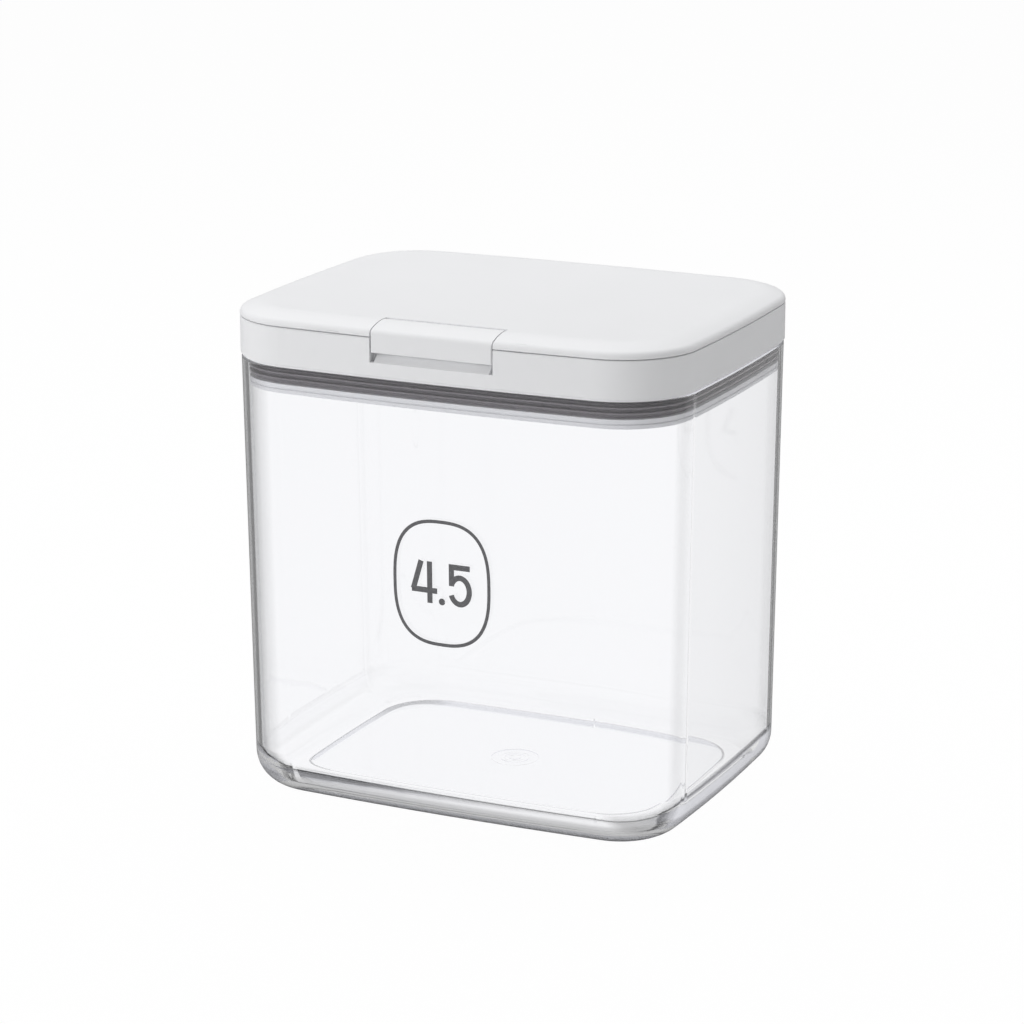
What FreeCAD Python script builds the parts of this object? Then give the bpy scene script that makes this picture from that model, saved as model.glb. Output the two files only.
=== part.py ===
import FreeCAD, Part
import math
import os
from FreeCAD import Vector

# Clear canister with a white flip lid. Lengths are millimetres and heights are above the standing face.
# The front is toward -Y. An inset is measured inward from the lid's outline.

# Lid outline: a soft rectangle of eight tangent arcs
lid_width = 198.0
lid_depth = 153.2
corner_radius = 31.7
long_side_bow_radius = 1400.0
short_side_bow_radius = 1000.0

# Jar
jar_height = 182.0
jar_wall = 2.5
jar_rim_inset = 0.35
jar_draft = 2.25
jar_base_radius = 14.5
jar_floor = 2.4
jar_inner_radius = 12.5
jar_rim_radius = 0.8
foot_width = 3.2
foot_recess_rise = 3.6
foot_recess_corner = 24.0
foot_edge_radius = 1.2
gate_dish_radius = 10.0
gate_dish_depth = 0.4
gate_ring_radius = 6.0
gate_ring_width = 1.6
gate_nub_radius = 2.6
gate_nub_height = 0.3

# Plug frame
plate_thickness = 1.8
plug_clearance = 0.45
groove_height = 7.2
groove_depth = 3.2
plug_wall = 2.2
flange_height = 3.9
flange_line_height = 1.7
flange_line_width = 0.5
flange_line_depth = 0.6
flange_lip_height = 0.5
plug_edge_radius = 0.4

# Jar gasket
gasket_back = 1.2
lip_count = 3
lip_clearance = 0.3
lip_root = 1.3
lip_tip = 0.6
lip_rise = 0.25
lip_top_share = 0.87
lip_bottom_share = 0.27

# Collar ring
ring_height = 15.2
ring_wall = 2.2
ring_lip = 0.9
ring_top_radius = 0.6
ring_bottom_radius = 0.3
rim_shadow_gap = 1.0
plate_clearance = 0.2
deck_drop = 4.8
deck_thickness = 1.8
mouth_inset = 14.0
mouth_wall = 2.0
mouth_bead_height = 1.6
mouth_bead_width = 1.6
mouth_edge_radius = 0.5

# Latch pocket in the front of the ring
pocket_clearance = 0.5
pocket_depth = 4.0
pocket_floor_rise = 5.4
pocket_wall = 2.0
scoop_side_gap = 1.7
scoop_rise = 3.9
scoop_lip = 0.2
scoop_radius = 10.0
catch_rib_radius = 1.05
catch_half_width = 18.0

# Rear hinge between ring and cover
hinge_drop = 8.7
barrel_radius = 2.4
hinge_pin_radius = 1.0
arm_middle = 28.0
arm_width = 16.0
arm_thickness = 2.8
arm_root = 1.2
arm_side_clearance = 0.4
arm_back_clearance = 0.1
slot_clearance = 0.6
slot_floor_clearance = 0.8
slot_wall = 3.0
pin_end_clearance = 0.3

# Cover shell
seam_gap = 0.3
cover_height = 4.9
cover_wall = 2.4
cover_top_thickness = 2.2
cover_edge_drop = 2.6
cover_edge_reach = 6.9
cover_small_radius = 2.6
cover_large_radius = 28.0
cover_bottom_radius = 0.4
cover_rim_height = 0.7
cover_slope_reach = 2.8
cover_slope_drop = 0.6
cover_flat_inset = 12.0
notch_clearance = 0.5

# Latch lever and its pin
tab_width = 52.0
tab_height = 11.15
tab_wall = 2.2
tab_flange = 2.0
tab_edge_radius = 0.5
tab_inner_radius = 1.0
knuckle_radius = 2.0
knuckle_clearance = 0.3
pivot_depth = 12.2
bead_radius = 1.25
bead_gap = 0.35
latch_pin_radius = 0.8
saddle_length = 6.0
saddle_half_depth = 2.4

# Cover liner and its gasket
liner_inset = 8.4
liner_thickness = 1.8
liner_wall_inset = 16.5
liner_wall = 2.0
liner_edge_radius = 0.4
liner_clearance = 0.3
rib_height = 1.3
rib_thickness = 0.8
seal_overhang = 0.9
seal_side_clearance = 0.1
seal_gap = 0.3
seal_edge_radius = 0.6
post_half_depth = 0.7
post_clearance = 0.1

# Shared working clearances
running_clearance = 0.05
seat_clearance = 0.02
overrun = 1.0
join_tolerance = 0.0001

# Heights and insets that follow from the sizes above
up = Vector(0, 0, 1)
jar_base_inset = jar_rim_inset + jar_draft
jar_inside_inset = jar_rim_inset + jar_wall
jar_floor_top = foot_recess_rise + jar_floor
cap_inset = jar_base_inset + jar_base_radius + foot_width / 2
ring_bottom = jar_height + rim_shadow_gap
ring_top = ring_bottom + ring_height
plate_top = jar_height + plate_thickness
deck_top = ring_top - deck_drop
bead_top = deck_top + mouth_bead_height
mouth_outer_inset = mouth_inset - mouth_wall
groove_bottom = jar_height - groove_height
plug_bottom = groove_bottom - flange_height
flange_inset = jar_inside_inset + plug_clearance
groove_inset = flange_inset + groove_depth
plug_inner_inset = groove_inset + plug_wall
cover_bottom = ring_top + seam_gap
cover_top = cover_bottom + cover_height
cover_under = cover_top - cover_top_thickness
pivot_height = cover_top - knuckle_radius
liner_top = pivot_height - knuckle_radius - liner_clearance
liner_bottom = liner_top - liner_thickness
seal_bottom = bead_top + seal_gap
hinge_height = ring_top - hinge_drop
pocket_floor = ring_bottom + pocket_floor_rise
pocket_half_width = tab_width / 2 + pocket_clearance


def bow(half_width):
    """How far the long side falls back from its middle at this half width."""
    return long_side_bow_radius - math.sqrt(long_side_bow_radius ** 2 - half_width ** 2)


arm_outer = arm_middle + arm_width / 2
arm_set_back = bow(arm_outer) + arm_back_clearance
hinge_inset = arm_set_back + barrel_radius
tab_set_back = bow(tab_width / 2)


def front_y(inset):
    """Y at this inset from the middle of the front."""
    return inset - lid_depth / 2


def rear_y(inset):
    """Y at this inset from the middle of the rear."""
    return lid_depth / 2 - inset


def jar_outer_inset(height):
    """Inset of the jar's outer wall at this height."""
    return jar_rim_inset + jar_draft * (jar_height - height) / jar_height


def outline_arcs(width, depth, corner):
    """Centre, radius, start and end angle of the eight arcs of a soft rectangle."""
    front = Vector(0, long_side_bow_radius - depth / 2, 0)
    right = Vector(width / 2 - short_side_bow_radius, 0, 0)
    long_reach = long_side_bow_radius - corner
    short_reach = short_side_bow_radius - corner
    between = right - front
    span = between.Length
    along = (long_reach ** 2 - short_reach ** 2 + span ** 2) / (2 * span)
    aside = math.sqrt(long_reach ** 2 - along ** 2)
    step = between / span
    meet = front + step * along + Vector(-step.y, step.x, 0) * aside
    half_long = math.atan2(meet.x, front.y - meet.y)
    half_short = math.atan2(-meet.y, meet.x - right.x)
    quarter = math.pi / 2
    arcs = []
    for turn, middle, radius, half in (
        (0, front, long_side_bow_radius, half_long),
        (1, right, short_side_bow_radius, half_short),
        (2, front, long_side_bow_radius, half_long),
        (3, right, short_side_bow_radius, half_short),
    ):
        flip = 1 if turn < 2 else -1
        heading = (turn - 1) * quarter
        arcs.append((middle * flip, radius, heading - half, heading + half))
        next_half = half_short if half == half_long else half_long
        side_x = 1 if turn in (0, 1) else -1
        side_y = 1 if turn in (0, 3) else -1
        centre = Vector(meet.x * side_x, meet.y * side_y, 0)
        arcs.append((centre, corner, heading + half, heading + quarter - next_half))
    return arcs


lid_arcs = outline_arcs(lid_width, lid_depth, corner_radius)


def outline_face(arcs, inset, height):
    """Flat face inside the outline at this inset."""
    edges = []
    for centre, radius, start, end in arcs:
        circle = Part.Circle(Vector(centre.x, centre.y, height), up, radius - inset)
        edges.append(Part.ArcOfCircle(circle, start, end).toShape())
    return Part.Face(Part.Wire(edges))


def rounded_pieces(corners, closed):
    """Lines and arcs through the corners (across, up, radius); radii give way where a side is short."""
    count = len(corners)
    spots = [Vector(across, height, 0) for across, height, radius in corners]
    reaches = [0] * count
    halves = [0] * count
    for index in range(count):
        radius = corners[index][2]
        if radius:
            back = spots[index - 1] - spots[index]
            ahead = spots[(index + 1) % count] - spots[index]
            halves[index] = back.getAngle(ahead) / 2
            reaches[index] = radius / math.tan(halves[index])
    room_shares = [1] * count
    sides = count if closed else count - 1
    for index in range(sides):
        after = (index + 1) % count
        wanted = reaches[index] + reaches[after]
        length = (spots[after] - spots[index]).Length
        if wanted > length:
            room_shares[index] = min(room_shares[index], length / wanted)
            room_shares[after] = min(room_shares[after], length / wanted)
    ends = []
    pieces = []
    for index in range(count):
        spot = spots[index]
        reach = reaches[index] * room_shares[index]
        if reach == 0:
            ends.append((spot, spot))
            pieces.append(None)
            continue
        back = (spots[index - 1] - spot).normalize()
        ahead = (spots[(index + 1) % count] - spot).normalize()
        radius = reach * math.tan(halves[index])
        inward = (back + ahead).normalize()
        crown = spot + inward * (radius / math.sin(halves[index]) - radius)
        ends.append((spot + back * reach, spot + ahead * reach))
        pieces.append((spot + back * reach, crown, spot + ahead * reach))
    path = []
    for index in range(count):
        if pieces[index]:
            path.append(pieces[index])
        if index < sides:
            leave = ends[index][1]
            arrive = ends[(index + 1) % count][0]
            if not leave.isEqual(arrive, join_tolerance):
                path.append((leave, arrive))
    return path


def piece_edge(points):
    """Edge through two points, or an arc through three."""
    if len(points) == 3:
        return Part.Arc(*points).toShape()
    return Part.makeLine(*points)


def swept_faces(corners, closed):
    """Faces of a profile (inset, height, radius) carried round the lid outline."""
    path = rounded_pieces(corners, closed)
    faces = []
    for centre, radius, start, end in lid_arcs:
        edges = []
        for points in path:
            placed = []
            for point in points:
                reach = radius - point.x
                aside = Vector(math.cos(start), math.sin(start), 0) * reach
                placed.append(centre + aside + up * point.y)
            edges.append(piece_edge(placed))
        turned = Part.Wire(edges).revolve(centre, up, math.degrees(end - start))
        faces.extend(turned.Faces)
    return faces


def closed_solid(faces):
    """Solid bounded by faces that meet edge to edge."""
    shell = Part.makeShell(faces)
    shell.sewShape()
    solid = Part.makeSolid(shell)
    if solid.Volume < 0:
        solid.reverse()
    return solid


def ring_solid(corners):
    """Ring of this profile round the lid outline."""
    return closed_solid(swept_faces(corners, True))


def panel_solid(corners):
    """Solid whose profile starts and ends at a flat panel in the middle."""
    faces = swept_faces(corners, False)
    for inset, height, radius in (corners[0], corners[-1]):
        faces.append(outline_face(lid_arcs, inset, height))
    return closed_solid(faces)


def block(x_from, x_to, y_from, y_to, z_from, z_to):
    """Box between the given coordinates, in either order."""
    low = Vector(min(x_from, x_to), min(y_from, y_to), min(z_from, z_to))
    size = Vector(abs(x_to - x_from), abs(y_to - y_from), abs(z_to - z_from))
    return Part.makeBox(size.x, size.y, size.z, low)


def rod(x_from, x_to, y, z, radius):
    """Round rod along X."""
    return Part.makeCylinder(radius, abs(x_to - x_from), Vector(min(x_from, x_to), y, z), Vector(1, 0, 0))


def bar_along_x(corners, half_width):
    """Bar along X with the profile (inset from the front, height, radius)."""
    edges = []
    for points in rounded_pieces(corners, True):
        edges.append(piece_edge([Vector(-half_width, front_y(point.x), point.y) for point in points]))
    return Part.Face(Part.Wire(edges)).extrude(Vector(2 * half_width, 0, 0))


def make_jar():
    """Drafted jar with a rounded base, a recessed underside and a gate mark."""
    jar = panel_solid([
        (cap_inset, jar_floor_top, 0),
        (jar_outer_inset(jar_floor_top) + jar_wall, jar_floor_top, jar_inner_radius),
        (jar_inside_inset, jar_height, jar_rim_radius),
        (jar_rim_inset, jar_height, jar_rim_radius),
        (jar_base_inset, 0, jar_base_radius),
        (cap_inset, 0, 0),
    ])
    foot_inset = jar_base_inset + jar_base_radius + foot_width
    recess_arcs = outline_arcs(lid_width - 2 * foot_inset, lid_depth - 2 * foot_inset, foot_recess_corner)
    recess = outline_face(recess_arcs, 0, -overrun).extrude(up * (overrun + foot_recess_rise))
    top_edges = [edge for edge in recess.Edges if min(v.Z for v in edge.Vertexes) > 0]
    jar = jar.cut(recess.makeFillet(foot_edge_radius, top_edges))
    return jar.cut(gate_hollow())


def gate_hollow():
    """Shallow dish round the moulding's gate, less the raised ring and the nub in its middle."""
    dish = Part.makeCylinder(gate_dish_radius, gate_dish_depth, Vector(0, 0, foot_recess_rise))
    nub_base = Vector(0, 0, foot_recess_rise + gate_dish_depth - gate_nub_height)
    nub = Part.makeCylinder(gate_nub_radius, gate_nub_height, nub_base)
    ring = Part.makeCylinder(gate_ring_radius, gate_nub_height, nub_base)
    eye = Part.makeCylinder(gate_ring_radius - gate_ring_width, gate_nub_height, nub_base)
    return dish.cut(ring.cut(eye)).cut(nub)


def make_plug_frame():
    """Plate on the jar's rim with the plug wall, gasket groove and lower flange."""
    line_top = groove_bottom - flange_line_height
    line_bottom = line_top - flange_line_width
    line_inset = flange_inset + flange_line_depth
    lip_top = plug_bottom + flange_lip_height
    return ring_solid([
        (ring_lip + plate_clearance, jar_height, 0),
        (ring_lip + plate_clearance, plate_top, 0),
        (mouth_inset, plate_top, 0),
        (mouth_inset, jar_height, plug_edge_radius),
        (plug_inner_inset, jar_height, plug_edge_radius),
        (plug_inner_inset, plug_bottom, plug_edge_radius),
        (line_inset, plug_bottom, 0),
        (line_inset, lip_top, 0),
        (flange_inset, lip_top, plug_edge_radius / 2),
        (flange_inset, line_bottom, plug_edge_radius / 2),
        (line_inset, line_bottom, 0),
        (line_inset, line_top, 0),
        (flange_inset, line_top, plug_edge_radius / 2),
        (flange_inset, groove_bottom, plug_edge_radius / 2),
        (groove_inset, groove_bottom, 0),
        (groove_inset, jar_height, 0),
    ])


def make_jar_gasket():
    """Lip gasket in the plug's groove; the lips point out and a little up."""
    seat_inset = groove_inset - seat_clearance
    back_inset = seat_inset - gasket_back
    tip_inset = jar_inside_inset + lip_clearance
    corners = [
        (seat_inset, jar_height, 0),
        (seat_inset, groove_bottom, 0),
        (back_inset, groove_bottom, 0),
    ]
    for index in range(lip_count):
        height_share = lip_bottom_share + (lip_top_share - lip_bottom_share) * index / (lip_count - 1)
        middle = groove_bottom + groove_height * height_share
        tip_middle = middle + lip_rise
        corners.append((back_inset, middle - lip_root / 2, 0))
        corners.append((tip_inset, tip_middle - lip_tip / 2, lip_tip / 2))
        corners.append((tip_inset, tip_middle + lip_tip / 2, lip_tip / 2))
        corners.append((back_inset, middle + lip_root / 2, 0))
    corners.append((back_inset, jar_height, 0))
    return ring_solid(corners)


def ring_body():
    """Inverted channel: outer wall, deck and mouth wall with its sealing bead."""
    bead_inset = mouth_inset - mouth_bead_width
    return ring_solid([
        (0, ring_bottom, ring_bottom_radius),
        (0, ring_top, ring_top_radius),
        (ring_wall, ring_top, ring_top_radius),
        (ring_wall, deck_top, 0),
        (bead_inset, deck_top, 0),
        (bead_inset, bead_top, mouth_edge_radius),
        (mouth_inset, bead_top, mouth_edge_radius),
        (mouth_inset, plate_top, 0),
        (mouth_outer_inset, plate_top, 0),
        (mouth_outer_inset, deck_top - deck_thickness, 0),
        (ring_wall, deck_top - deck_thickness, 0),
        (ring_wall, plate_top, 0),
        (ring_lip, plate_top, 0),
        (ring_lip, ring_bottom, 0),
    ])


def add_latch_pocket(ring):
    """Front pocket for the latch tab, with a finger scoop and the catch rib on its rear wall."""
    wall_inset = pocket_depth + pocket_wall
    rib_middle = catch_height()
    catch_top = rib_middle + catch_rib_radius
    outer = pocket_half_width + pocket_wall
    buried = ring_wall / 2
    housing = block(
        -outer, outer, front_y(buried), front_y(wall_inset), pocket_floor - pocket_wall, deck_top
    )
    ring = ring.fuse(housing)
    catch_wall = block(
        -catch_half_width, catch_half_width, front_y(pocket_depth), front_y(wall_inset),
        deck_top - overrun, catch_top,
    )
    ring = ring.fuse(catch_wall)
    hollow = block(
        -pocket_half_width, pocket_half_width, front_y(-overrun), front_y(pocket_depth), pocket_floor,
        ring_top + overrun,
    )
    ring = ring.cut(hollow)
    rib = rod(-catch_half_width, catch_half_width, front_y(pocket_depth), rib_middle, catch_rib_radius)
    scoop = scoop_bar(pocket_half_width - scoop_side_gap)
    return ring.fuse([rib, scoop])


def scoop_bar(half_width):
    """Hollow ramp that leads a finger under the tab."""
    lip = Vector(-half_width, front_y(scoop_lip), pocket_floor)
    crest = Vector(-half_width, front_y(pocket_depth), pocket_floor + scoop_rise)
    root = Vector(-half_width, front_y(pocket_depth), pocket_floor)
    chord = crest - lip
    rise = math.sqrt(scoop_radius ** 2 - (chord.Length / 2) ** 2)
    outward = Vector(0, -chord.z, chord.y).normalize()
    centre = (lip + crest) / 2 + outward * rise
    middle = centre - outward * scoop_radius
    edges = [Part.Arc(lip, middle, crest).toShape(), Part.makeLine(crest, root), Part.makeLine(root, lip)]
    return Part.Face(Part.Wire(edges)).extrude(Vector(2 * half_width, 0, 0))


def bead_height():
    """Height of the middle of the latch's bead, which ends level with the tab's lower edge."""
    return cover_top - tab_height + bead_radius


def catch_height():
    """Height of the middle of the catch rib, a bead gap clear of the latch's bead."""
    across = pocket_depth - tab_set_back - tab_wall
    apart = bead_radius + catch_rib_radius + bead_gap
    return bead_height() + math.sqrt(apart ** 2 - across ** 2)


def add_hinge_slot(ring, side):
    """Rear slot for one hinge arm, with side walls that hold the pin."""
    half_slot = arm_width / 2 + arm_side_clearance
    inner = side * (arm_middle - half_slot)
    outer = side * (arm_middle + half_slot)
    back_inset = hinge_inset + barrel_radius + slot_clearance
    floor = hinge_height - barrel_radius - slot_floor_clearance
    wall = side * slot_wall
    buried = ring_wall / 2
    solid = block(
        inner - wall, outer + wall,
        rear_y(buried), rear_y(mouth_outer_inset + mouth_wall / 2),
        plate_top, deck_top,
    )
    hollow = block(inner, outer, rear_y(-overrun), rear_y(back_inset), floor, ring_top + overrun)
    bore = rod(
        inner - wall, outer + wall, rear_y(hinge_inset), hinge_height, hinge_pin_radius + seat_clearance
    )
    return ring.fuse(solid).cut(hollow).cut(bore)


def make_collar_ring():
    """White ring with the latch pocket in front and two hinge slots behind."""
    ring = add_latch_pocket(ring_body())
    for side in (-1, 1):
        ring = add_hinge_slot(ring, side)
    return ring.removeSplitter()


def make_hinge_pin(side):
    """Pin through one hinge arm, with both ends in the ring."""
    half_length = arm_width / 2 + arm_side_clearance + slot_wall - pin_end_clearance
    inner = side * (arm_middle - half_length)
    outer = side * (arm_middle + half_length)
    return rod(inner, outer, rear_y(hinge_inset), hinge_height, hinge_pin_radius)


def cover_body():
    """Cover panel with a softly rounded edge."""
    slope_inset = cover_wall + cover_slope_reach
    panel_inset = cover_flat_inset + liner_wall
    return panel_solid([
        (panel_inset, cover_under, 0),
        (cover_flat_inset, cover_under, 0),
        (slope_inset, cover_under - cover_slope_drop, 0),
        (cover_wall, cover_bottom + cover_rim_height, 0),
        (cover_wall, cover_bottom, cover_bottom_radius),
        (0, cover_bottom, cover_bottom_radius),
        (0, cover_top - cover_edge_drop, cover_small_radius),
        (cover_edge_reach, cover_top, cover_large_radius),
        (panel_inset, cover_top, 0),
    ])


def hinge_arm(side):
    """Arm that drops from the cover's rear edge to its barrel."""
    inner = side * (arm_middle - arm_width / 2)
    outer = side * arm_outer
    plate = block(
        inner, outer, rear_y(arm_set_back), rear_y(arm_set_back + arm_thickness),
        hinge_height, cover_bottom + arm_root,
    )
    barrel = rod(inner, outer, rear_y(hinge_inset), hinge_height, barrel_radius)
    bore = rod(
        inner - side * overrun, outer + side * overrun, rear_y(hinge_inset), hinge_height,
        hinge_pin_radius + running_clearance,
    )
    return plate.fuse(barrel), bore


def make_cover_shell():
    """Cover with the latch notch, two saddles for the latch pin and two hinge arms."""
    cover = cover_body()
    notch_half = tab_width / 2 + notch_clearance
    notch_inset = pivot_depth + knuckle_radius + knuckle_clearance
    saddle_bottom = liner_top + liner_clearance
    cover = cover.cut(block(
        -notch_half, notch_half,
        front_y(-overrun), front_y(notch_inset),
        cover_bottom - overrun, cover_top + overrun,
    ))
    pin_y = front_y(pivot_depth)
    for side in (-1, 1):
        inner = side * notch_half
        outer = side * (notch_half + saddle_length)
        saddle = block(
            inner, outer,
            pin_y - saddle_half_depth, pin_y + saddle_half_depth,
            saddle_bottom, cover_under + overrun,
        )
        hole = latch_pin_radius + seat_clearance
        bore = rod(inner - side * overrun, outer, pin_y, pivot_height, hole)
        mouth = block(
            inner - side * overrun, outer, pin_y - hole, pin_y + hole, saddle_bottom - overrun, pivot_height
        )
        cover = cover.fuse(saddle).cut(bore.fuse(mouth))
        arm, arm_bore = hinge_arm(side)
        cover = cover.fuse(arm).cut(arm_bore)
    return cover.removeSplitter()


def make_latch():
    """Lever that follows the cover's edge, with a front wall, a snap bead and a knuckle round its pin."""
    half = tab_width / 2
    face = tab_set_back
    inner = face + tab_wall
    bottom = cover_top - tab_height
    lever = bar_along_x([
        (face, bottom, tab_edge_radius),
        (face, cover_top - cover_edge_drop, cover_small_radius),
        (face + cover_edge_reach, cover_top, cover_large_radius),
        (pivot_depth, cover_top, 0),
        (pivot_depth, cover_top - tab_flange, 0),
        (inner, cover_top - tab_flange, tab_inner_radius),
        (inner, bottom, tab_edge_radius),
    ], half)
    lever = lever.common(tab_plan(half, face, bottom))
    knuckle = rod(-half, half, front_y(pivot_depth), pivot_height, knuckle_radius)
    bead = rod(-catch_half_width, catch_half_width, front_y(inner), bead_height(), bead_radius)
    bore = rod(
        -half - overrun, half + overrun,
        front_y(pivot_depth), pivot_height,
        latch_pin_radius + running_clearance,
    )
    return lever.fuse([knuckle, bead]).cut(bore).removeSplitter()


def tab_plan(half, face, bottom):
    """Upright block the size of the tab seen from above, with rounded front corners."""
    plan = block(-half, half, front_y(face), front_y(pivot_depth), bottom, cover_top)
    front_corners = []
    for edge in plan.Edges:
        is_upright = edge.BoundBox.ZLength > tab_height / 2
        if is_upright and edge.BoundBox.Center.y < front_y(face + tab_wall):
            front_corners.append(edge)
    return plan.makeFillet(tab_edge_radius, front_corners)


def make_latch_pin():
    """Pin of the latch, with its ends in the cover's saddles."""
    half = tab_width / 2 + notch_clearance + saddle_length - pin_end_clearance
    return rod(-half, half, front_y(pivot_depth), pivot_height, latch_pin_radius)


def make_cover_liner():
    """Inner panel with a spacing wall, two ribs round the seal and posts under the latch pin."""
    seal_outer = mouth_inset - mouth_bead_width - seal_overhang - seal_side_clearance
    seal_inner = mouth_inset + seal_overhang + seal_side_clearance
    wall_end = liner_wall_inset + liner_wall
    panel_inset = wall_end + liner_wall
    rib_bottom = liner_bottom - rib_height
    liner = panel_solid([
        (panel_inset, liner_top, 0),
        (wall_end, liner_top, 0),
        (wall_end, cover_under, 0),
        (liner_wall_inset, cover_under, 0),
        (liner_wall_inset, liner_top, 0),
        (liner_inset, liner_top, liner_edge_radius),
        (liner_inset, liner_bottom, liner_edge_radius),
        (seal_outer - rib_thickness, liner_bottom, 0),
        (seal_outer - rib_thickness, rib_bottom, 0),
        (seal_outer, rib_bottom, 0),
        (seal_outer, liner_bottom, 0),
        (seal_inner, liner_bottom, 0),
        (seal_inner, rib_bottom, 0),
        (seal_inner + rib_thickness, rib_bottom, 0),
        (seal_inner + rib_thickness, liner_bottom, 0),
        (panel_inset, liner_bottom, 0),
    ])
    pin_y = front_y(pivot_depth)
    post_top = pivot_height - latch_pin_radius - post_clearance
    for side in (-1, 1):
        inner = side * (tab_width / 2 + notch_clearance + pin_end_clearance)
        outer = side * (tab_width / 2 + notch_clearance + saddle_length - pin_end_clearance)
        post = block(
            inner, outer,
            pin_y - post_half_depth, pin_y + post_half_depth,
            liner_top - liner_thickness / 2, post_top,
        )
        liner = liner.fuse(post)
    return liner.removeSplitter()


def make_cover_gasket():
    """Flat ring between the liner's ribs, just over the bead of the mouth."""
    outer = mouth_inset - mouth_bead_width - seal_overhang
    inner = mouth_inset + seal_overhang
    return ring_solid([
        (outer, liner_bottom, 0),
        (outer, seal_bottom, seal_edge_radius),
        (inner, seal_bottom, seal_edge_radius),
        (inner, liner_bottom, 0),
    ])


parts = {
    "jar": make_jar(),
    "plug_frame": make_plug_frame(),
    "jar_gasket": make_jar_gasket(),
    "collar_ring": make_collar_ring(),
    "hinge_pin_left": make_hinge_pin(-1),
    "hinge_pin_right": make_hinge_pin(1),
    "cover_shell": make_cover_shell(),
    "cover_liner": make_cover_liner(),
    "cover_gasket": make_cover_gasket(),
    "latch": make_latch(),
    "latch_pin": make_latch_pin(),
}
os.makedirs("parts", exist_ok=True)
for name, shape in parts.items():
    shape.exportStep("parts/" + name + ".step")
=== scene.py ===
import bpy
import math
from mathutils import Matrix, Vector


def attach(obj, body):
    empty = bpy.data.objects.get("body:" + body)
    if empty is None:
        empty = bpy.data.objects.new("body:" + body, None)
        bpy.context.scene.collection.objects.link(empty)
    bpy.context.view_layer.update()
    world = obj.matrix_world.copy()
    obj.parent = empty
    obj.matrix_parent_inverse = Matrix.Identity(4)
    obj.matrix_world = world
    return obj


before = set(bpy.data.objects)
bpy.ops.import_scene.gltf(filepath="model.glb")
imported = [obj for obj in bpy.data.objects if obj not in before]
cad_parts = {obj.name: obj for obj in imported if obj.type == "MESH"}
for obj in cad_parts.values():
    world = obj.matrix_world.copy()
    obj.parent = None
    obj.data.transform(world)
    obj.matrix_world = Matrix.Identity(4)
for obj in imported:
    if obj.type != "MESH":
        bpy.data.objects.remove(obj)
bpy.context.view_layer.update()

bpy.context.scene.view_settings.view_transform = "Standard"


# Jar
# The clear body, one injection moulding of styrene-like plastic with polished walls and a recessed foot.
# It stands on the shelf and carries the lid on its rim.
def new_material(name):
    """A material, its node tree and its principled shader."""
    material = bpy.data.materials.new(name)
    material.use_nodes = True
    tree = material.node_tree
    return material, tree, tree.nodes["Principled BSDF"]


def dress(node, material):
    """Gives a CAD piece its finish."""
    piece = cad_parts[node]
    piece.data.materials.clear()
    piece.data.materials.append(material)


def feed(tree, value, socket):
    """Sets a plain number on a socket, or links another node's output to it."""
    if isinstance(value, bpy.types.NodeSocket):
        tree.links.new(value, socket)
    else:
        socket.default_value = value


def worked(tree, operation, first, second=0.0):
    """The result of one step of arithmetic on outputs or plain numbers."""
    step = tree.nodes.new("ShaderNodeMath")
    step.operation = operation
    feed(tree, first, step.inputs[0])
    feed(tree, second, step.inputs[1])
    return step.outputs[0]


def spread(tree, value, start, end, least, most):
    """A value that goes from least to most while another goes from start to end, and no further."""
    span = tree.nodes.new("ShaderNodeMapRange")
    feed(tree, value, span.inputs["Value"])
    feed(tree, start, span.inputs["From Min"])
    feed(tree, end, span.inputs["From Max"])
    feed(tree, least, span.inputs["To Min"])
    feed(tree, most, span.inputs["To Max"])
    return span.outputs["Result"]


def stepped(tree, value, stops):
    """A value read off a ramp, from rising stops of position and amount."""
    ramp = tree.nodes.new("ShaderNodeValToRGB")
    marks = ramp.color_ramp.elements
    marks[0].position = stops[0][0]
    marks[1].position = stops[-1][0]
    for position, amount in stops[1:-1]:
        marks.new(position)
    for mark, (position, amount) in zip(marks, stops):
        mark.color = (amount, amount, amount, 1.0)
    feed(tree, value, ramp.inputs["Fac"])
    return ramp.outputs["Color"]


def mixed(tree, share, usual, instead):
    """Two shaders mixed, by the share of the second."""
    mix = tree.nodes.new("ShaderNodeMixShader")
    feed(tree, share, mix.inputs["Fac"])
    feed(tree, usual, mix.inputs[1])
    feed(tree, instead, mix.inputs[2])
    return mix.outputs["Shader"]


clear_plastic, tree, shader = new_material("clear_plastic")
shader.inputs["Base Color"].default_value = (0.985, 0.987, 0.997, 1.0)
shader.inputs["Roughness"].default_value = 0.02
shader.inputs["IOR"].default_value = 1.5
shader.inputs["Transmission Weight"].default_value = 1.0
surface = tree.nodes.new("ShaderNodeNewGeometry")
ray = tree.nodes.new("ShaderNodeLightPath")
slant = tree.nodes.new("ShaderNodeLayerWeight").outputs["Facing"]
heading = tree.nodes.new("ShaderNodeSeparateXYZ")
feed(tree, surface.outputs["Normal"], heading.inputs["Vector"])
# Painted shade: near the slant of total reflection, the wall seen from inside is mixed towards black,
# which draws the jar's dark outline.
painted_outline_stops = (
    (0.243, 0.0), (0.254, 0.3), (0.258, 0.66), (0.275, 0.62), (0.29, 0.2), (0.325, 0.05), (1.0, 0.04)
)
painted_outline = stepped(tree, slant, painted_outline_stops)
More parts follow.
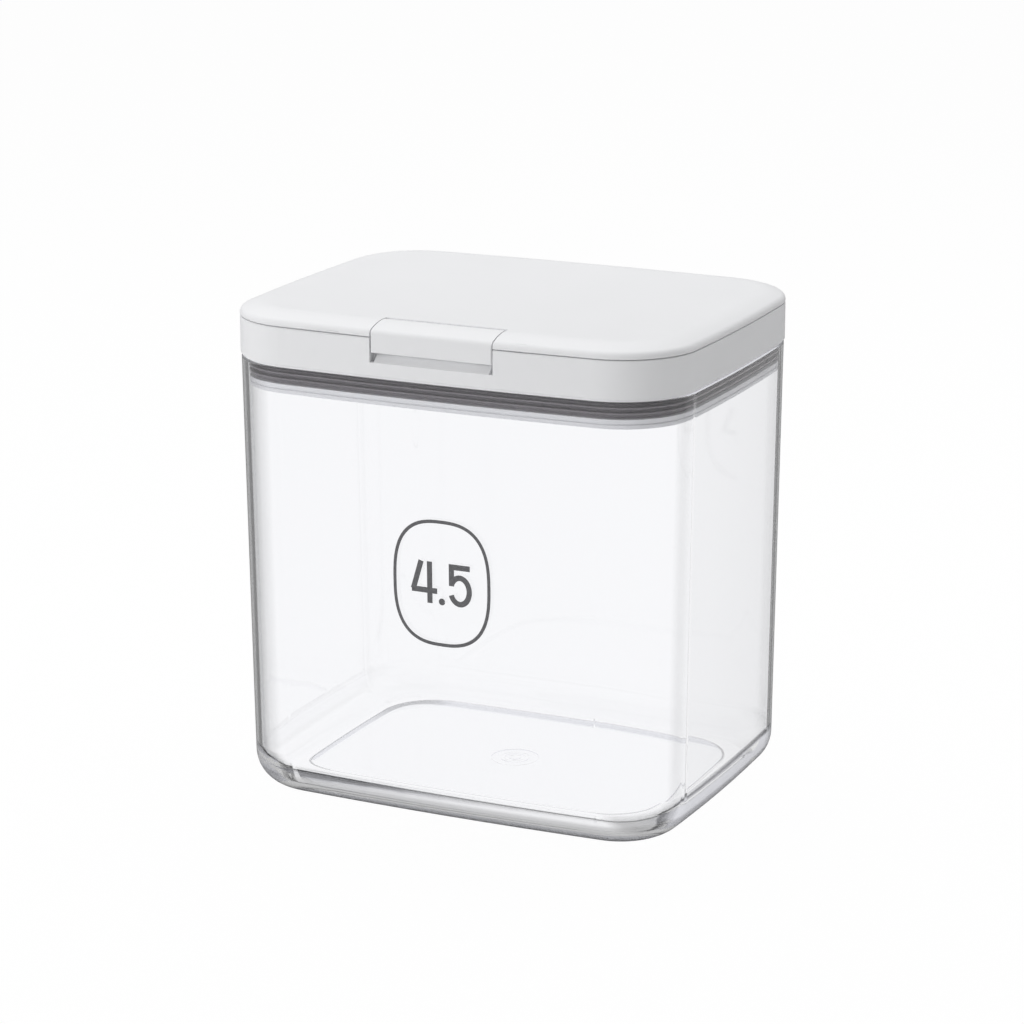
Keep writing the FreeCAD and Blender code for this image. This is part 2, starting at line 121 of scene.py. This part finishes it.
# Painted shade on the upright corners, which face neither along X nor along Y: a strip of black is mixed in
# at lesser slants too.
corner_turn_low = 0.1
corner_turn_high = 0.3
strip_slant_low = 0.13
strip_slant_high = 0.215
strip_share = 0.25
along_x = worked(tree, "ABSOLUTE", heading.outputs["X"])
along_y = worked(tree, "ABSOLUTE", heading.outputs["Y"])
turn = worked(tree, "MINIMUM", along_x, along_y)
corner = spread(tree, turn, corner_turn_low, corner_turn_high, 0.0, 1.0)
strip = spread(tree, slant, strip_slant_low, strip_slant_high, 0.0, strip_share)
painted_corner_shade = worked(tree, "MULTIPLY", corner, strip)
# Painted shade: the dark outline and the corner strips, on the inside of the wall only.
painted_edge_shade = worked(tree, "MAXIMUM", painted_outline, painted_corner_shade)
painted_edge_shade_inside = worked(tree, "MULTIPLY", painted_edge_shade, surface.outputs["Backfacing"])
# Painted shade: the rounding of the foot is mixed towards black the more it faces down, for rays from the
# camera.
foot_stops = ((0.26, 0.0), (0.36, 0.3), (0.66, 0.46), (0.85, 0.74))
downward = worked(tree, "MULTIPLY", heading.outputs["Z"], -1.0)
painted_foot_shade = worked(tree, "MULTIPLY", stepped(tree, downward, foot_stops), ray.outputs["Is Camera Ray"])
# Painted shade: a black emission of no strength, mixed in by the painted masks above.
painted_black = tree.nodes.new("ShaderNodeEmission")
painted_black.inputs["Strength"].default_value = 0.0
painted_shade_share = worked(tree, "MAXIMUM", painted_edge_shade_inside, painted_foot_shade)
finish = mixed(tree, painted_shade_share, shader.outputs["BSDF"], painted_black.outputs["Emission"])
# Painted glow: where a ray has been mirrored more than a few times inside the foot, the wall glows pale
# instead of passing light on.
reflections_followed = 3.5
painted_glow = tree.nodes.new("ShaderNodeEmission")
painted_glow.inputs["Color"].default_value = (0.905, 0.91, 0.955, 1.0)
painted_glow_share = worked(tree, "GREATER_THAN", ray.outputs["Glossy Depth"], reflections_followed)
finish = mixed(tree, painted_glow_share, finish, painted_glow.outputs["Emission"])
# Light from the lamps and light off other surfaces goes straight through the wall.
passing = tree.nodes.new("ShaderNodeBsdfTransparent")
passing.inputs["Color"].default_value = (0.96, 0.96, 0.97, 1.0)
for kind in ("Is Shadow Ray", "Is Diffuse Ray"):
    finish = mixed(tree, ray.outputs[kind], finish, passing.outputs["BSDF"])
feed(tree, finish, tree.nodes["Material Output"].inputs["Surface"])
dress("jar", clear_plastic)

# Capacity mark
# Grey screen print on the jar's front, just right of the middle: a plain ring round the number of litres.
# The ink is a thin film on the outer wall, drawn as strokes that follow the wall's bow and draft.
# Sizes are in millimetres, across from the mark's middle and up from the foot.
jar_half_depth = 76.6
jar_height = 182.0
jar_rim_inset = 0.35
jar_draft = 2.25
front_bow_radius = 1400.0
mm_per_metre = 1000.0
mark_aside = 3.4


def wall_point(across, height, lift):
    """Point of the jar's front wall in metres, lifted off the wall."""
    inset = jar_rim_inset + jar_draft * (jar_height - height) / jar_height
    wall_radius = front_bow_radius - inset
    deep = front_bow_radius - jar_half_depth - math.sqrt(wall_radius ** 2 - across ** 2)
    return (across / mm_per_metre, (deep - lift) / mm_per_metre, height / mm_per_metre)


def stroke_mesh(points, width, lift, closed):
    """Corner points and faces of a flat stroke of this width along the points."""
    count = len(points)
    corners = []
    for index, (across, height) in enumerate(points):
        before = points[index - 1] if closed or index else points[index]
        after = points[(index + 1) % count] if closed or index < count - 1 else points[index]
        along = Vector((after[0] - before[0], after[1] - before[1])).normalized()
        for side in (-width / 2, width / 2):
            aside = mark_aside + across - along.y * side
            corners.append(wall_point(aside, height + along.x * side, lift))
    spans = count if closed else count - 1
    faces = []
    for index in range(spans):
        after = (index + 1) % count
        faces.append((2 * index, 2 * after, 2 * after + 1, 2 * index + 1))
    return corners, faces


def arc_points(middle, half_width, half_height, start, end, steps):
    """Points along part of an ellipse, angles in degrees from the right and upward."""
    points = []
    for index in range(steps + 1):
        angle = math.radians(start + (end - start) * index / steps)
        points.append((middle[0] + half_width * math.cos(angle), middle[1] + half_height * math.sin(angle)))
    return points


def straight_points(start, end):
    """Points along a straight stroke, close enough together to follow the wall."""
    steps = 6
    points = []
    for index in range(steps + 1):
        share = index / steps
        across = start[0] + (end[0] - start[0]) * share
        height = start[1] + (end[1] - start[1]) * share
        points.append((across, height))
    return points


def ring_points(middle, half_width, half_height, fullness, steps):
    """Points round a plain rounded ring, fuller at its corners than an ellipse."""
    points = []
    for index in range(steps):
        angle = 2 * math.pi * index / steps
        across = math.copysign(abs(math.cos(angle)) ** (2 / fullness), math.cos(angle))
        high = math.copysign(abs(math.sin(angle)) ** (2 / fullness), math.sin(angle))
        points.append((middle[0] + half_width * across, middle[1] + half_height * high))
    return points


ring_middle = (0.0, 102.0)
ring_half_width = 20.5
ring_half_height = 25.2
ring_fullness = 2.7
ring_line = 1.4
ring_steps = 160
ring = ring_points(ring_middle, ring_half_width, ring_half_height, ring_fullness, ring_steps)
digit_low = 93.5
digit_high = 110.6
digit_line = 2.3
four_top = -8.8
four_left = -12.4
four_stem = -5.15
four_bar_left = -13.1
four_bar_right = -1.9
four_bar_height = 98.7
point_middle = (0.1, 94.6)
point_half = 0.7
point_line = 1.4
point_steps = 24
point = arc_points(point_middle, point_half, point_half, 0, 360, point_steps)
five_stem = 4.4
five_stem_low = 101.6
five_bar_left = five_stem - digit_line / 2
five_bar_right = 12.4
five_bar_height = digit_high - digit_line / 2
bowl_middle = (8.0, 99.9)
bowl_half_width = 4.05
bowl_half_height = 5.4
bowl_start = 152
bowl_end = -158
bowl_steps = 40
bowl = arc_points(bowl_middle, bowl_half_width, bowl_half_height, bowl_start, bowl_end, bowl_steps)
mark_strokes = [
    (ring, ring_line, True),
    (straight_points((four_top, digit_high), (four_left, four_bar_height)), digit_line, False),
    (straight_points((four_bar_left, four_bar_height), (four_bar_right, four_bar_height)), digit_line, False),
    (straight_points((four_stem, digit_high), (four_stem, digit_low)), digit_line, False),
    (point, point_line, False),
    (straight_points((five_bar_left, five_bar_height), (five_bar_right, five_bar_height)), digit_line, False),
    (straight_points((five_stem, digit_high), (five_stem, five_stem_low)), digit_line, False),
    (bowl, digit_line, False),
]
ink_film = 0.02
ink_overlap = 0.003
mark_corners = []
mark_faces = []
for index, (points, width, closed) in enumerate(mark_strokes):
    corners, faces = stroke_mesh(points, width, ink_film + ink_overlap * index, closed)
    first = len(mark_corners)
    mark_corners.extend(corners)
    mark_faces.extend([tuple(first + corner for corner in face) for face in faces])
mark_mesh = bpy.data.meshes.new("capacity_mark")
mark_mesh.from_pydata(mark_corners, [], mark_faces)
capacity_mark = bpy.data.objects.new("capacity_mark", mark_mesh)
bpy.context.scene.collection.objects.link(capacity_mark)
grey_ink, tree, shader = new_material("grey_ink")
shader.inputs["Roughness"].default_value = 0.45
place = tree.nodes.new("ShaderNodeTexCoord")
screen_weave = tree.nodes.new("ShaderNodeTexNoise")
screen_weave.inputs["Scale"].default_value = 900.0
screen_weave.inputs["Detail"].default_value = 2.0
density = tree.nodes.new("ShaderNodeValToRGB")
thick_ink, thin_ink = density.color_ramp.elements
thick_ink.position = 0.3
thick_ink.color = (0.125, 0.125, 0.132, 1.0)
thin_ink.position = 0.7
thin_ink.color = (0.16, 0.16, 0.168, 1.0)
feed(tree, place.outputs["Object"], screen_weave.inputs["Vector"])
feed(tree, screen_weave.outputs["Fac"], density.inputs["Fac"])
feed(tree, density.outputs["Color"], shader.inputs["Base Color"])
mark_mesh.materials.append(grey_ink)
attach(capacity_mark, "jar")


# Plug frame
# White moulded frame that sits on the jar's rim and carries the gasket in a groove.
# It is welded to the collar ring from below.
def moulded_grain_group():
    """Fine spark-eroded grain of a moulded surface: a roughness that varies and a height."""
    group = bpy.data.node_groups.new("moulded_grain", "ShaderNodeTree")
    for name in ("Grain Scale", "Roughness Low", "Roughness High"):
        group.interface.new_socket(name, in_out="INPUT", socket_type="NodeSocketFloat")
    for name in ("Roughness", "Height"):
        group.interface.new_socket(name, in_out="OUTPUT", socket_type="NodeSocketFloat")
    enter = group.nodes.new("NodeGroupInput")
    leave = group.nodes.new("NodeGroupOutput")
    place = group.nodes.new("ShaderNodeTexCoord")
    grain = group.nodes.new("ShaderNodeTexNoise")
    grain.inputs["Detail"].default_value = 3.0
    cloud = group.nodes.new("ShaderNodeTexNoise")
    cloud.inputs["Scale"].default_value = 45.0
    feed(group, place.outputs["Object"], grain.inputs["Vector"])
    feed(group, place.outputs["Object"], cloud.inputs["Vector"])
    feed(group, enter.outputs["Grain Scale"], grain.inputs["Scale"])
    rough_low = enter.outputs["Roughness Low"]
    rough_high = enter.outputs["Roughness High"]
    roughness = spread(group, cloud.outputs["Fac"], 0.0, 1.0, rough_low, rough_high)
    feed(group, roughness, leave.inputs["Roughness"])
    feed(group, grain.outputs["Fac"], leave.inputs["Height"])
    return group


moulded_grain = moulded_grain_group()
grain_height = 0.00003
grain_strength = 0.15


def grained_material(name, colour, grain_scale, rough_low, rough_high):
    """A moulded finish: one colour with fine grain in its gloss and its surface."""
    material, tree, shader = new_material(name)
    shader.inputs["Base Color"].default_value = (*colour, 1.0)
    grain = tree.nodes.new("ShaderNodeGroup")
    grain.node_tree = moulded_grain
    grain.inputs["Grain Scale"].default_value = grain_scale
    grain.inputs["Roughness Low"].default_value = rough_low
    grain.inputs["Roughness High"].default_value = rough_high
    bump = tree.nodes.new("ShaderNodeBump")
    bump.inputs["Strength"].default_value = grain_strength
    bump.inputs["Distance"].default_value = grain_height
    feed(tree, grain.outputs["Roughness"], shader.inputs["Roughness"])
    feed(tree, grain.outputs["Height"], bump.inputs["Height"])
    feed(tree, bump.outputs["Normal"], shader.inputs["Normal"])
    return material


white_plastic = grained_material(
    "white_plastic", colour=(0.825, 0.829, 0.842), grain_scale=2600.0, rough_low=0.42, rough_high=0.52
)
dress("plug_frame", white_plastic)

# Jar gasket
# Dark grey silicone ring with three lips that seal on the jar's wall.
# It is moulded in one piece and stretched into the plug's groove.
grey_silicone = grained_material(
    "grey_silicone", colour=(0.21, 0.195, 0.21), grain_scale=1800.0, rough_low=0.34, rough_high=0.42
)
dress("jar_gasket", grey_silicone)

# Collar ring
# White moulded ring of the lid, with the latch pocket in front and the hinge slots behind.
# It is of the same plastic as the plug frame, which is welded under it.
dress("collar_ring", white_plastic)

# Hinge pins
# Two drawn steel pins, pressed into the collar ring at the rear.
# The cover's arms turn on them.
drawn_steel, tree, shader = new_material("drawn_steel")
shader.inputs["Base Color"].default_value = (0.6, 0.6, 0.61, 1.0)
shader.inputs["Metallic"].default_value = 1.0
rough_least = 0.22
rough_most = 0.4
streak = tree.nodes.new("ShaderNodeTexNoise")
streak.inputs["Scale"].default_value = 900.0
streak.inputs["Detail"].default_value = 2.0
gloss = spread(tree, streak.outputs["Fac"], 0.0, 1.0, rough_least, rough_most)
feed(tree, gloss, shader.inputs["Roughness"])
for pin in ("hinge_pin_left", "hinge_pin_right"):
    dress(pin, drawn_steel)

# Cover
# White moulded cover shell with its two hinge arms, and the inner liner fixed under it.
# Both are of the same plastic as the ring.
for panel in ("cover_shell", "cover_liner"):
    dress(panel, white_plastic)

# Cover gasket
# Pale silicone ring, pressed in between the liner's ribs.
# It lies on the rim of the mouth when the cover is shut.
pale_silicone = grained_material(
    "pale_silicone", colour=(0.7, 0.7, 0.71), grain_scale=1800.0, rough_low=0.5, rough_high=0.6
)
dress("cover_gasket", pale_silicone)

# Latch
# White moulded lever that turns on a steel pin in the front of the cover.
# Its bead snaps under a rib in the ring's pocket.
dress("latch", white_plastic)
dress("latch_pin", drawn_steel)

# Floor, backdrop and light
# A plain white sweep with soft light from above and from the front left.
# The surround is white where it is seen straight or through the jar, and dimmer where a surface mirrors it.
white_level = 1.0
mirrored_level = 0.22


def surround_level(tree, ray):
    """Strength of the white surround for a ray."""
    mirrored = worked(tree, "MINIMUM", ray.outputs["Glossy Depth"], 1.0)
    outside = worked(tree, "LESS_THAN", ray.outputs["Transmission Depth"], 0.5)
    first_surface = worked(tree, "MULTIPLY", mirrored, outside)
    return spread(tree, first_surface, 0.0, 1.0, white_level, mirrored_level)


floor_reach = 3.0
floor_corners = [
    (-floor_reach, -floor_reach, 0),
    (floor_reach, -floor_reach, 0),
    (floor_reach, floor_reach, 0),
    (-floor_reach, floor_reach, 0),
]
floor_mesh = bpy.data.meshes.new("floor")
floor_mesh.from_pydata(floor_corners, [], [(0, 1, 2, 3)])
floor = bpy.data.objects.new("floor", floor_mesh)
bpy.context.scene.collection.objects.link(floor)
floor_paint, tree, shader = new_material("floor_paint")
shader.inputs["Base Color"].default_value = (0.9, 0.9, 0.9, 1.0)
shader.inputs["Roughness"].default_value = 0.9
shader.inputs["Specular IOR Level"].default_value = 0.0
floor_white_share = 0.97
glow = tree.nodes.new("ShaderNodeEmission")
ray = tree.nodes.new("ShaderNodeLightPath")
feed(tree, surround_level(tree, ray), glow.inputs["Strength"])
seen = worked(tree, "MAXIMUM", ray.outputs["Is Camera Ray"], ray.outputs["Is Glossy Ray"])
seen = worked(tree, "MAXIMUM", seen, ray.outputs["Is Transmission Ray"])
white_share = worked(tree, "MULTIPLY", seen, floor_white_share)
sweep = mixed(tree, white_share, shader.outputs["BSDF"], glow.outputs["Emission"])
feed(tree, sweep, tree.nodes["Material Output"].inputs["Surface"])
floor_mesh.materials.append(floor_paint)

soft_level = 0.46
world = bpy.data.worlds.new("studio")
bpy.context.scene.world = world
world.use_nodes = True
tree = world.node_tree
backdrop = tree.nodes["Background"]
backdrop.inputs["Color"].default_value = (1.0, 1.0, 1.0, 1.0)
ray = tree.nodes.new("ShaderNodeLightPath")
clear_rays = worked(tree, "MAXIMUM", ray.outputs["Is Glossy Ray"], ray.outputs["Is Transmission Ray"])
around = spread(tree, clear_rays, 0.0, 1.0, soft_level, surround_level(tree, ray))
shown = spread(tree, ray.outputs["Is Camera Ray"], 0.0, 1.0, around, white_level)
feed(tree, shown, backdrop.inputs["Strength"])


def soft_box(name, place, aim, width, watts):
    """A square soft box turned to its aim, which lights the part but isn't mirrored or seen in it."""
    lamp = bpy.data.lights.new(name, "AREA")
    lamp.shape = "RECTANGLE"
    lamp.size = width
    lamp.size_y = width
    lamp.energy = watts
    holder = bpy.data.objects.new(name, lamp)
    holder.location = place
    holder.rotation_euler = (Vector(aim) - Vector(place)).to_track_quat("-Z", "Y").to_euler()
    holder.visible_glossy = False
    holder.visible_transmission = False
    bpy.context.scene.collection.objects.link(holder)


top_place = (-0.12, 0.3, 1.3)
top_aim = (0.0, 0.0, 0.18)
top_width = 1.2
top_watts = 11.3
soft_box("top_box", top_place, top_aim, top_width, top_watts)
front_left_place = (-1.1, -1.3, 0.5)
front_left_aim = (0.0, 0.0, 0.15)
front_left_width = 1.0
front_left_watts = 10.4
soft_box("front_left_box", front_left_place, front_left_aim, front_left_width, front_left_watts)

# Camera
# The photograph's view: a long lens a little above the lid, from the front and the right.
# Lengths are in metres, and the lens is given in pixels of the square picture.
view_azimuth = math.radians(25.27)
view_height = math.radians(15.62)
view_roll = math.radians(-0.16)
view_distance = 1.3851
aim_aside = -0.00135
aim_height = 0.11175
picture_width = 1024.0
lens_pixels = 3370.6
sensor_width = 36.0
back = Vector((
    math.sin(view_azimuth) * math.cos(view_height),
    -math.cos(view_azimuth) * math.cos(view_height),
    math.sin(view_height),
))
right = Vector((math.cos(view_azimuth), math.sin(view_azimuth), 0.0))
rise = back.cross(right)
stand = back * view_distance + right * aim_aside + Vector((0.0, 0.0, aim_height))
turned = Matrix((right, rise, back)).transposed().to_4x4()
lens = bpy.data.cameras.new("view")
lens.sensor_width = sensor_width
lens.lens = sensor_width * lens_pixels / picture_width
camera = bpy.data.objects.new("view", lens)
camera.matrix_world = Matrix.Translation(stand) @ turned @ Matrix.Rotation(view_roll, 4, "Z")
bpy.context.scene.collection.objects.link(camera)
bpy.context.scene.camera = camera
